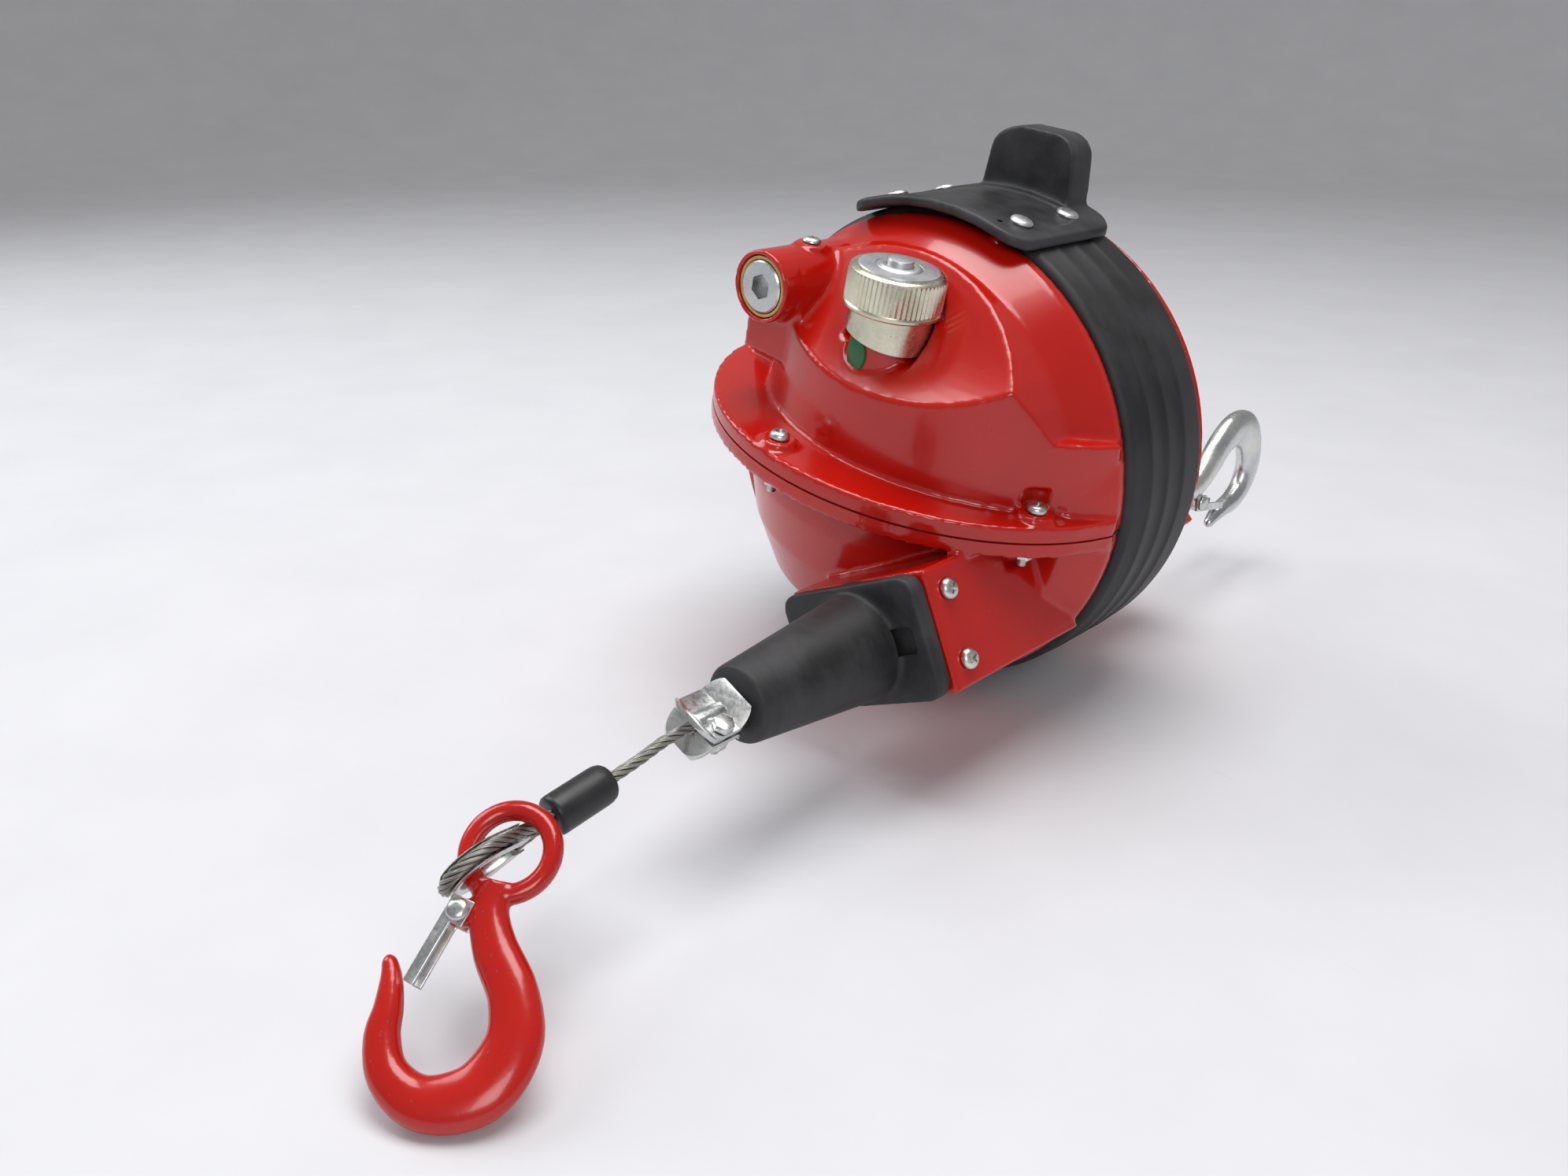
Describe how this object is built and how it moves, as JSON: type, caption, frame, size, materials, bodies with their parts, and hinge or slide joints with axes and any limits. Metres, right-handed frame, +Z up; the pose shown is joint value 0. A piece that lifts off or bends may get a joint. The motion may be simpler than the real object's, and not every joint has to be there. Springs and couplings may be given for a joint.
{
  "type": "spring balancer",
  "caption": "Spring balancer: red cast case with a rubber waist belt, a guided wire rope carrying a latched load hook, and a latched swivel hook behind to hang it from.",
  "frame": {"origin": "middle of the belt facet that the balancer rests on, at floor level", "axes": "+Z up; +Y along the load line from the load hook towards the suspension hook; +X to the right of +Y, towards the load line's side of the case"},
  "size_m": [0.2434, 0.6536, 0.2774],
  "materials": {
    "red_enamel": "gloss red enamel over a casting",
    "black_rubber": "dull moulded rubber",
    "zinc_plate": "bright zinc plate",
    "bare_rivet": "pressed flat heads",
    "wire_strand": "stranded stainless wire",
    "machined_steel": "machined, oiled",
    "cast_alloy": "cast and turned",
    "bearing_bronze": "turned bronze",
    "gasket_sheet": "thin sheet",
    "guide_nylon": "turned nylon",
    "green_paint": "gloss green disc"
  },
  "bodies": {
    "case": {"upper_case": "red_enamel", "lower_case": "red_enamel", "case_gasket": "gasket_sheet", "flange_screw_1": "zinc_plate", "flange_nut_1": "zinc_plate", "flange_screw_2": "zinc_plate", "flange_nut_2": "zinc_plate", "flange_screw_3": "zinc_plate", "flange_nut_3": "zinc_plate", "flange_screw_4": "zinc_plate", "flange_nut_4": "zinc_plate", "flange_screw_5": "zinc_plate", "flange_nut_5": "zinc_plate", "flange_screw_6": "zinc_plate", "flange_nut_6": "zinc_plate", "guide_screw_1": "zinc_plate", "guide_screw_2": "zinc_plate", "guide_screw_3": "zinc_plate", "guide_screw_4": "zinc_plate", "rubber_belt": "black_rubber", "belt_closure": "black_rubber", "closure_rivet_1": "bare_rivet", "closure_rivet_2": "bare_rivet", "closure_rivet_3": "bare_rivet", "closure_rivet_4": "bare_rivet", "bumper_cone": "black_rubber", "wire_guide": "guide_nylon", "main_shaft": "machined_steel", "worm_bush": "bearing_bronze", "worm_plug": "zinc_plate", "lock_spring": "machined_steel", "indicator_dot": "green_paint", "swivel_washer": "bearing_bronze"},
    "drum_set": {"drum": "cast_alloy", "rope_wound": "wire_strand", "drum_bush": "bearing_bronze", "spring_case": "machined_steel", "spring_cover": "machined_steel", "mainspring": "machined_steel"},
    "tension_wheel": {"spring_arbor": "machined_steel", "worm_wheel": "bearing_bronze"},
    "tension_worm": {"worm_shaft": "machined_steel"},
    "knob": {"lock_knob": "zinc_plate"},
    "pin": {"lock_pin": "machined_steel"},
    "rope_end": {"rope": "wire_strand", "stopper_plate_1": "zinc_plate", "stopper_plate_2": "zinc_plate", "stopper_bolt": "zinc_plate", "stopper_nut": "zinc_plate", "rope_sleeve": "black_rubber", "thimble": "zinc_plate", "rope_eye": "wire_strand"},
    "load_hook_set": {"load_hook": "red_enamel", "load_latch_rivet": "zinc_plate"},
    "load_latch": {"load_latch": "zinc_plate"},
    "suspension_set": {"suspension_hook": "zinc_plate", "suspension_latch_rivet": "zinc_plate", "swivel_nut": "zinc_plate"},
    "suspension_latch": {"suspension_latch": "zinc_plate"}
  },
  "joints": [
    {"name": "drum_spin", "type": "hinge", "parent": "case", "child": "drum_set", "pos_m": [0, -0.018, 0.12174], "axis": [-0.2079, 0, -0.9781], "range_deg": [0, 90], "stiffness_Nm_per_rad": 1, "springref_deg": -114.59},
    {"name": "tension_wheel_turn", "type": "hinge", "parent": "case", "child": "tension_wheel", "pos_m": [0.01622, -0.018, 0.19803], "axis": [0.2079, 0, 0.9781], "range_deg": [0, 120]},
    {"name": "tension_worm_turn", "type": "hinge", "parent": "case", "child": "tension_worm", "pos_m": [-0.03856, -0.033, 0.20968], "axis": [0, 1, 0], "continuous": true},
    {"name": "knob_turn", "type": "hinge", "parent": "case", "child": "knob", "pos_m": [0.02568, -0.088, 0.21851], "axis": [0.2079, 0, 0.9781], "range_deg": [0, 180]},
    {"name": "pin_drop", "type": "slide", "parent": "case", "child": "pin", "axis": [-0.2079, 0, -0.9781], "range_m": [0, 0.0065]},
    {"name": "rope_pull", "type": "slide", "parent": "case", "child": "rope_end", "axis": [0, -1, 0], "range_m": [0, 0.1022]},
    {"name": "load_hook_swing", "type": "hinge", "parent": "rope_end", "child": "load_hook_set", "pos_m": [0.0631, -0.3334, 0.0574], "axis": [0.3712, -0.475, 0.7978], "range_deg": [0, 80]},
    {"name": "load_latch_open", "type": "hinge", "parent": "load_hook_set", "child": "load_latch", "pos_m": [0.06413, -0.35519, 0.04395], "axis": [0.3712, -0.475, 0.7978], "range_deg": [0, 38], "stiffness_Nm_per_rad": 0.02, "springref_deg": -34.38},
    {"name": "suspension_swivel", "type": "hinge", "parent": "case", "child": "suspension_set", "pos_m": [0.05464, 0.117, 0.06616], "axis": [0, 1, 0], "continuous": true},
    {"name": "suspension_latch_open", "type": "hinge", "parent": "suspension_set", "child": "suspension_latch", "pos_m": [0.05464, 0.1706, 0.05581], "axis": [1, 0, 0], "range_deg": [0, 38], "stiffness_Nm_per_rad": 0.02, "springref_deg": -34.38}
  ],
  "couplings": [
    {"joint": "rope_pull", "follows": "drum_spin", "m_per_rad": 0.065},
    {"joint": "tension_worm_turn", "follows": "tension_wheel_turn", "ratio": 30},
    {"joint": "pin_drop", "follows": "knob_turn", "m_per_rad": 0.002065}
  ]
}
